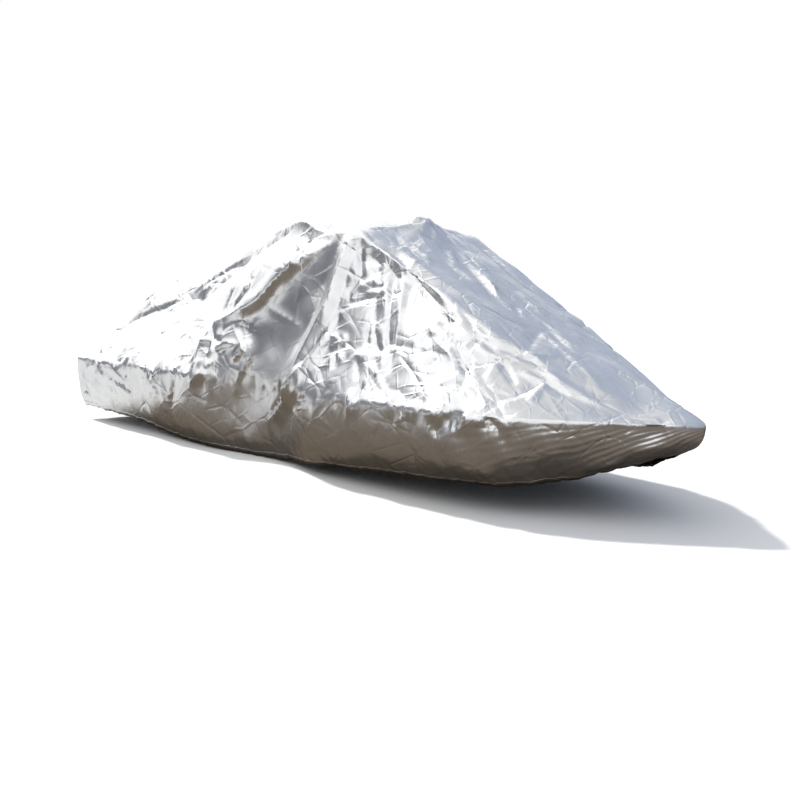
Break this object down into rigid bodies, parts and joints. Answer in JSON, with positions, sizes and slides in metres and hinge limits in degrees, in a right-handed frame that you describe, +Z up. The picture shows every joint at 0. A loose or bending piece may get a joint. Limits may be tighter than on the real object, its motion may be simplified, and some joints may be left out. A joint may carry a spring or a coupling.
{
  "type": "fitted personal watercraft cover",
  "caption": "Silver storage cover shaped to a personal watercraft, drawn tight over seat, grips and mirrors, with a skirt and elastic hem tucked in under the deck edge.",
  "frame": {"origin": "underside of the cloth at its highest point, between the two grips, where the cover is held up", "axes": "+X towards the bow, +Y to port, +Z up"},
  "size_m": [3.6247, 1.2892, 1.15],
  "materials": {
    "silver_cloth": "silver coated woven cloth, crumpled, half gloss"
  },
  "bodies": {
    "root": {"cover": "silver_cloth"}
  },
  "joints": []
}
